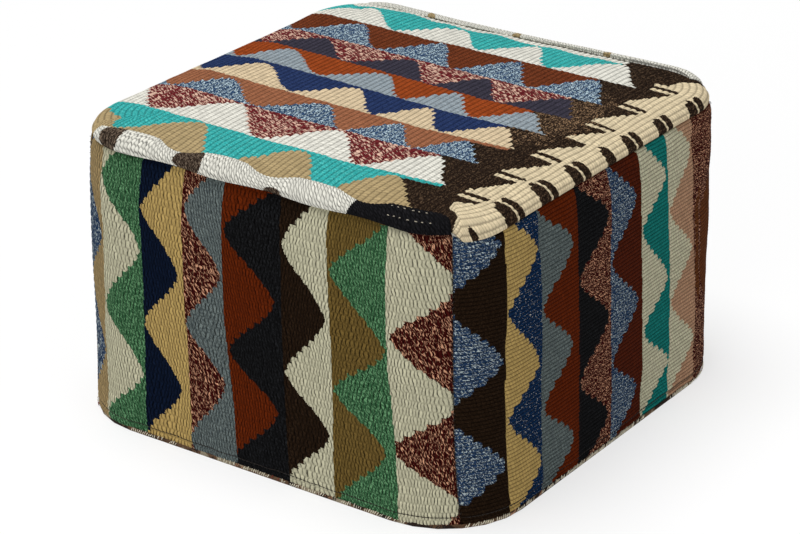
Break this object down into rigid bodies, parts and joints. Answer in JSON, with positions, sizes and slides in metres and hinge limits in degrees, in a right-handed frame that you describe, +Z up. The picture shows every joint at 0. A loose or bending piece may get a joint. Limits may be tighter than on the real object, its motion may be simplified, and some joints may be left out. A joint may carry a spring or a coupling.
{
  "type": "kilim pouf",
  "caption": "Square floor pouf with rounded corners: woven zigzag kilim cover, rolled top edges, zipped canvas base, and a liner, wadding and foam filling.",
  "frame": {"origin": "middle of the base, on the floor", "axes": "+X to the right along the front, +Y towards the back, +Z up; the zip under the base runs along X"},
  "size_m": [0.6108, 0.6108, 0.385],
  "materials": {
    "kilim_top": "flatwoven wool in zigzag bands, ribbed",
    "kilim_side": "flatwoven wool in upright zigzag bands, ribbed",
    "rolled_edge": "thick woven border rolled over the edge",
    "thread": "overcast cotton thread",
    "canvas": "heavy plain-woven cotton canvas",
    "zip_tape": "close-woven zip tape",
    "zip_plastic": "moulded acetal, satin",
    "zip_metal": "dull aged brass",
    "liner_cotton": "unbleached cotton",
    "wadding": "polyester wadding",
    "soft_foam": "open-cell foam, soft",
    "firm_foam": "open-cell foam, firm"
  },
  "bodies": {
    "pouf": {"top_panel": "kilim_top", "side_panel_front": "kilim_side", "side_panel_right": "kilim_side", "side_panel_back": "kilim_side", "side_panel_left": "kilim_side", "front_rolled_edge": "rolled_edge", "back_rolled_edge": "rolled_edge", "hem_overcast": "thread", "base_canvas_front": "canvas", "base_canvas_rear": "canvas", "zip_tape_front": "zip_tape", "zip_tape_rear": "zip_tape", "zip_teeth_front": "zip_plastic", "zip_teeth_rear": "zip_plastic", "zip_bottom_stop": "zip_plastic", "zip_top_stops": "zip_plastic", "liner_body": "liner_cotton", "liner_base": "liner_cotton", "batting_wrap": "wadding", "foam_topper": "soft_foam", "foam_core": "firm_foam"},
    "slider": {"zip_slider": "zip_metal"},
    "pull": {"zip_pull": "zip_metal"}
  },
  "joints": [
    {"name": "zip_slide", "type": "slide", "parent": "pouf", "child": "slider", "axis": [-1, 0, 0], "range_m": [0, 0.42], "deforming": ["zip_teeth_front", "zip_teeth_rear"]},
    {"name": "pull_hinge", "type": "hinge", "parent": "slider", "child": "pull", "pos_m": [0.20725, 0, 0.0075], "axis": [0, 1, 0], "range_deg": [-150, 12]}
  ]
}
